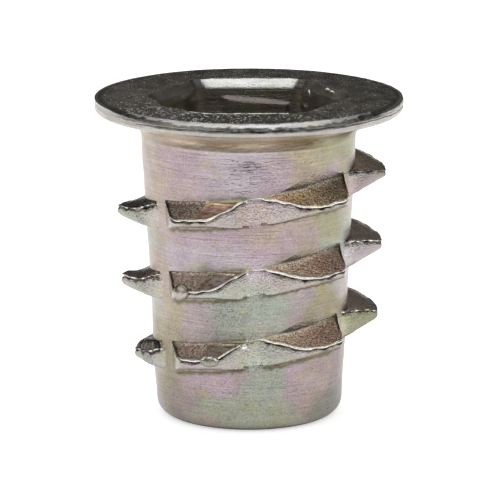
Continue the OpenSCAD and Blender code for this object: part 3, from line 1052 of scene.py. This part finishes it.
def thread_film(s, parts, points, above):
    """Film over the thread: the flank's browns, painted shade on the left points, painted shade
    in olive above its root with a painted highlight along the ridge, a painted highlight along
    the burr, painted shade at each leaf's start and in olive under the leaves, and the barrel's
    patches, a little paler, everywhere else."""
    up, burr, groove, _, low = (c for c, _ in parts)
    flank = slice(up.shape[1])
    edge = slice(flank.stop, flank.stop + burr.shape[1])
    land = slice(edge.stop + groove.shape[1], None)
    crest_z = points[:, flank.stop, 2:]
    low_point = smooth(crest_z, 7.0, 5.5)
    barrel = film_colour(points)
    film = barrel * 1.18 + 0.02

    top = flank_film(s, points[:, flank], crest_z)
    # painted shade in the hollow above the upper root
    hollow_shade = mix(OLIVE_HOLLOW_SHADE, barrel[:, flank] * (0.85, 0.85, 0.80), s.second[..., None])
    top = mix(top, hollow_shade, above[..., None])
    # painted highlight along the ridge at the upper root
    bright = 0.35 + 0.65 * smooth(s.within, 54, 72) * s.first + 0.45 * s.second
    ridge = hump(up, s.ridge_at, 0.05) * s.leaf * s.shown * bright
    top = mix(top, RIDGE_HIGHLIGHT, 0.45 * ridge[..., None])
    # painted shade on the left points' upper flanks, near black lower down
    dark = s.left * np.maximum(s.standing, low_point * smooth(s.standing, 0.0, 0.1))
    film[:, flank] = top * (1 - (0.58 + 0.34 * low_point) * dark)[..., None]

    under = film[:, land]
    under = under * (1 - (0.26 + 0.14 * low_point) * s.point * s.standing)[..., None]
    rosy = s.right * smooth(crest_z, WARM_Z, COOL_Z)
    under = under * (1 - rosy[..., None] * (0.13, 0.19, 0.16))
    under = mix(under, LEFT_GREY, 0.6 * s.left[..., None])
    film[:, land] = mix(under, LAND_GREY, 0.6 * (s.leaf * s.standing)[..., None])
    # painted shade where each leaf starts, over its burr, groove and blunt crest
    start = hump(s.within, 41.5, 4.0) * (s.leaf > 0.5)
    film[:, flank.stop :] *= 1 - start[..., None] * (0.36, 0.34, 0.44)

    # painted highlight along the burr: full on the leaves, in specks on the points, weaker in
    # the notch
    speck = (0.25 + 0.75 * s.beads**2) * (0.25 + 0.75 * smooth(crest_z, 13.4, 12.6))
    speck = np.maximum(speck, s.left * s.beads * (1 - 0.7 * low_point))
    gap = window(s.within, 79, 82, 90, 93) * (1 - s.beads)
    glint = mix(speck, 1.0, s.leaf) * (1 - 0.5 * gap)
    film[:, edge] = glint[..., None] * BURR_HIGHLIGHT
    # painted shade in olive along the leaves' lower flanks
    root = slice(-low.shape[1], None)
    film[:, root] = mix(film[:, root], UNDER_LEAF_SHADE, (s.leaf * s.standing)[..., None])
    return film


def thread_grid():
    """Grid of points, with the film, grime and open grain of each: a cross-section at each
    station. It runs up the upper flank from the root, over the burr, down the groove and
    the blunt crest, and back in along the lower flank."""
    s = stations()
    parts = [upper_flank(s), *burr_and_groove(s)]
    parts += land_and_lower_flank(s, parts[-1][1][:, -1:])
    above = smooth(parts[0][0], s.ridge_at + 0.02, s.ridge_at - 0.03) * s.leaf
    points = thread_points(s, parts)
    film = thread_film(s, parts, points, above)
    return points, film, thread_painted_shade(s, parts), thread_grain(s, parts, above)


coarse_thread = closed_mesh("coarse_thread", *thread_grid())
cast_leaf = cast_metal(
    "cast_leaf", (0.012, 0.16, 0.0), roughness=0.24, glint=0.7, stretch=(0.9, 0.6, 0.9)
)
coarse_thread.data.materials.append(cast_leaf)
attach(coarse_thread, "root")

# ---------------------------------------------------------------------------
# Lumps and nicks
# Small faults of the casting: beads of metal where the mould leaked, and short scratches
# round the barrel. Each is a stretched ball, half sunk in the surface.
# ---------------------------------------------------------------------------
WHITE = (0.85, 0.84, 0.80)
PALE = (0.50, 0.44, 0.40)
SAGE_GREY = (0.34, 0.335, 0.285)
SHADE = (0.26, 0.24, 0.20)
BALL_ROWS = 9
BALL_COLUMNS = 14
TOOL_MARKS = 46
NICK_HALF_OUT = 0.032
NICK_HALF_UP = 0.012
NICK_SINK = 0.012
# The WHITE lumps are painted highlights, white balls set where bright glints show, some on real
# beads; the SHADE lump behind the pale one is a painted shadow round it
# Lumps: angle, distance from the axis, height, half sizes along, out and up, lean, colour
LUMPS = [
    (239.4, 7.70, 8.66, 0.45, 0.32, 0.43, -8, PALE),
    (239.6, 7.64, 8.71, 0.49, 0.26, 0.47, -8, SHADE),
    (252.3, 7.40, 4.72, 0.56, 0.26, 0.34, 4, SAGE_GREY),
    (249.5, 7.41, 4.90, 0.20, 0.25, 0.09, 30, WHITE),
    (252.3, 7.39, 4.99, 0.24, 0.25, 0.09, 2, WHITE),
    (255.1, 7.41, 4.91, 0.20, 0.25, 0.09, -28, WHITE),
    (267.1, 6.00, 5.34, 0.27, 0.24, 0.22, 35, WHITE),
    (268.5, 6.12, 13.86, 0.09, 0.12, 0.08, 20, WHITE),
    (269.0, 5.92, 9.62, 0.14, 0.14, 0.12, 30, WHITE),
    (47.3, 5.34, 18.16, 0.17, 0.16, 0.30, -30, WHITE),
    (28.5, 5.20, 18.70, 0.20, 0.15, 0.13, 0, WHITE),
    (22.6, 5.22, 18.66, 0.18, 0.14, 0.12, 0, WHITE),
]
# Nicks: angle, height, half length, lean in degrees
NICKS = [
    (269.5, 16.04, 0.80, 1),
    (269.5, 15.88, 1.30, 1),
    (272.0, 15.70, 0.90, 1),
    (273.0, 14.98, 0.60, 1),
    (266.5, 14.06, 0.90, 1),
    (265.3, 15.34, 0.16, -58),
    (268.2, 15.20, 0.13, -70),
    (272.6, 15.26, 0.15, -48),
    (274.2, 15.30, 0.18, 38),
    (304.5, 15.90, 0.22, 30),
    (300.5, 15.40, 0.20, -35),
    (297.0, 16.35, 0.18, -50),
    (306.5, 15.15, 0.24, 40),
    (309.0, 16.10, 0.16, -20),
]


def balls(places, sizes, leans):
    """Grids of points of stretched balls: latitude and longitude for each, turned by its
    lean in the surface, then carried to its angle, distance and height."""
    up = np.radians(np.linspace(-90, 90, BALL_ROWS))[:, None]
    turn = np.radians(np.arange(BALL_COLUMNS) * 360 / BALL_COLUMNS)
    angle, distance, height = np.array(places, dtype=float).T[..., None, None]
    half_along, half_out, half_up = np.array(sizes, dtype=float).T[..., None, None]
    along = half_along * np.cos(up) * np.cos(turn)
    rise = half_up * np.sin(up)
    lean = np.radians(leans)[:, None, None]
    side = along * np.cos(lean) - rise * np.sin(lean)
    z = height + along * np.sin(lean) + rise * np.cos(lean)
    angle = np.radians(angle) + side / distance
    r = distance + half_out * np.cos(up) * np.sin(turn)
    return np.stack([r * np.cos(angle), r * np.sin(angle), z], axis=-1)


places, sizes, leans, colours = zip(*[(row[:3], row[3:6], row[6], row[7]) for row in LUMPS])
lump_film = np.array(colours)[:, None, None]
lump_balls = balls(places, sizes, leans)
lumps = closed_mesh("lumps", lump_balls, lump_film, painted_shade=0.0, open_grain=0.15)
lumps.data.materials.append(cast_metal("lump_skin", (0.012, 0.12, 0.0), roughness=0.28))
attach(lumps, "root")

# Short marks of the tool, scattered round the front between the neck and the thread
chance = np.random.default_rng(5)
marks = [
    chance.normal(269, 7.0, TOOL_MARKS),
    chance.uniform(13.95, 16.3, TOOL_MARKS),
    chance.uniform(0.06, 0.34, TOOL_MARKS),
    chance.normal(1, 4, TOOL_MARKS),
]
angle, height, half_long, lean = np.concatenate([np.array(NICKS, dtype=float).T, marks], axis=1)
nick_balls = balls(
    np.stack([angle, body_r(height) - NICK_SINK, height], axis=1),
    np.stack(np.broadcast_arrays(half_long, NICK_HALF_OUT, NICK_HALF_UP), axis=1),
    lean,
)
nicks = closed_mesh("nicks", nick_balls, MAUVE, painted_shade=0.1, open_grain=0.3)
nicks.data.materials.append(cast_metal("nick_skin", (0.012, 0.1, 0.0), roughness=0.45))
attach(nicks, "root")

# ---------------------------------------------------------------------------
# Machine thread
# Tapped through the bore below the socket, in the casting itself, for an 8 mm screw with a
# 1.25 mm pitch. Its ridge is a coil whose root is sunk a little way into the bore's wall.
# ---------------------------------------------------------------------------
SCREW_PITCH = 1.25
MINOR_D = 6.8
RIDGE_ROOT_W = 1.1
RIDGE_CREST_W = 0.32
LOWER_LEAD_R = 3.85  # crest's radius at the two ends, where the lead-in bevels cut it back
UPPER_LEAD_R = 4.2
STEPS = 72  # cross-sections for each turn
CUT_FILM = (0.40, 0.36, 0.31)


def machine_points():
    """Grid of points: a four-cornered ridge carried along a right-hand helix inside the bore,
    its crest cut back by the lead-in bevel at each end."""
    bottom, top = 0.05, LENGTH - HEX_DEPTH - 0.05
    turns = (top - bottom - RIDGE_ROOT_W) / SCREW_PITCH
    angle = np.linspace(0, 2 * np.pi * turns, int(turns * STEPS))[:, None]
    z = bottom + RIDGE_ROOT_W / 2 + SCREW_PITCH * angle / (2 * np.pi)
    root = MAJOR_D / 2 + 0.04
    bevels = np.maximum(LOWER_LEAD_R - z, UPPER_LEAD_R - (top - z))
    crest = np.maximum(MINOR_D / 2, bevels)
    crest = np.minimum(crest, root - 0.02)
    depth = (root - crest) / (root - MINOR_D / 2)
    half_crest = RIDGE_ROOT_W / 2 - (RIDGE_ROOT_W - RIDGE_CREST_W) / 2 * depth
    r = np.concatenate([root + 0 * z, crest, crest, root + 0 * z], axis=1)
    half_root = RIDGE_ROOT_W / 2 + 0 * z
    h = np.concatenate([-half_root, -half_crest, half_crest, half_root], axis=1)
    return np.stack([r * np.cos(angle), r * np.sin(angle), z + h], axis=-1)


machine_thread = closed_mesh(
    "machine_thread", machine_points(), CUT_FILM, painted_shade=0.0, open_grain=0.1
)
cut_thread = cast_metal("cut_thread", (0.004, 0.01, 0.0), roughness=0.22)
machine_thread.data.materials.append(cut_thread)
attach(machine_thread, "root")

# ---------------------------------------------------------------------------
# Studio
# A white table and sky all round, with a dark card standing behind and round the object that
# the camera doesn't see. It gives bright metal its dark reflections.
# ---------------------------------------------------------------------------
FLOOR_SIZE = 3.0
CARD_RADIUS = 0.7
CARD_FRONT = math.radians(25)
CARD_BACK = math.radians(60)
CARD_SIDES = 96
CARD_FOOT = 0.002
CARD_GREY = (0.085, 0.082, 0.078, 1)
TABLE_WHITE = (0.8, 0.8, 0.8, 1)
TABLE_GLOW = 0.55
SHADE_NEAR = 0.0050  # the table's glow fades towards the object's foot
SHADE_FAR = 0.0120
SHADE_DEEP = 0.55


def stage_piece(name, points, faces, material_name):
    """A piece of the studio with a new material: its object and the material's nodes."""
    mesh = bpy.data.meshes.new(name)
    mesh.from_pydata(points, [], faces)
    material = bpy.data.materials.new(material_name)
    material.use_nodes = True
    mesh.materials.append(material)
    return placed(name, mesh), material.node_tree


def card_ring():
    """Points and faces of an upright ring of card: at each angle its height is the radius
    times the tangent of the elevation it hides, low in front and high behind."""
    index = np.arange(CARD_SIDES)
    turn = index * 2 * np.pi / CARD_SIDES
    elevation = mix(CARD_FRONT, CARD_BACK, (1 + np.sin(turn)) / 2)
    x, y = CARD_RADIUS * np.cos(turn), CARD_RADIUS * np.sin(turn)
    low = np.stack([x, y, np.full(CARD_SIDES, CARD_FOOT)], axis=1)
    high = np.stack([x, y, CARD_RADIUS * np.tan(elevation)], axis=1)
    ahead = (index + 1) % CARD_SIDES
    faces = np.stack([index, ahead, ahead + CARD_SIDES, index + CARD_SIDES], axis=1)
    return np.concatenate([low, high]).tolist(), faces.tolist()


half = FLOOR_SIZE / 2
corners = [(-half, -half, 0), (half, -half, 0), (half, half, 0), (-half, half, 0)]
floor, tree = stage_piece("table", corners, [(0, 1, 2, 3)], "white_table")
tree.nodes.remove(tree.nodes["Principled BSDF"])
diffuse = node(tree, "ShaderNodeBsdfDiffuse", TABLE_WHITE)
glow = node(tree, "ShaderNodeEmission", (1, 1, 1, 1), TABLE_GLOW)
path = node(tree, "ShaderNodeLightPath").outputs
place = node(tree, "ShaderNodeTexCoord").outputs["Object"]
away = node(tree, "ShaderNodeVectorMath", place, operation="LENGTH").outputs["Value"]
shade = (away, SHADE_NEAR, SHADE_FAR, SHADE_DEEP)
clear = node(tree, "ShaderNodeMapRange", *shade, interpolation_type="SMOOTHSTEP")
mirrored = maths(tree, "MULTIPLY", path["Is Glossy Ray"], clear.outputs["Result"])
seen = maths(tree, "MAXIMUM", path["Is Camera Ray"], mirrored)
unlit = node(tree, "ShaderNodeEmission", (0, 0, 0, 1), 0.0)
gate = node(tree, "ShaderNodeMixShader", seen, unlit.outputs[0], glow.outputs[0])
total = node(tree, "ShaderNodeAddShader", diffuse.outputs[0], gate.outputs[0])
tree.links.new(total.outputs[0], tree.nodes["Material Output"].inputs["Surface"])

card, tree = stage_piece("dark_card", *card_ring(), "dark_card")
card.visible_camera = False
card.visible_diffuse = False
card_shader = tree.nodes["Principled BSDF"].inputs
card_shader["Base Color"].default_value = CARD_GREY
card_shader["Roughness"].default_value = 0.9

world = bpy.data.worlds.new("sky")
bpy.context.scene.world = world
world.use_nodes = True
sky = world.node_tree.nodes["Background"].inputs
sky["Color"].default_value = (1, 1, 1, 1)
sky["Strength"].default_value = 1.0

bpy.context.scene.view_settings.view_transform = "Standard"
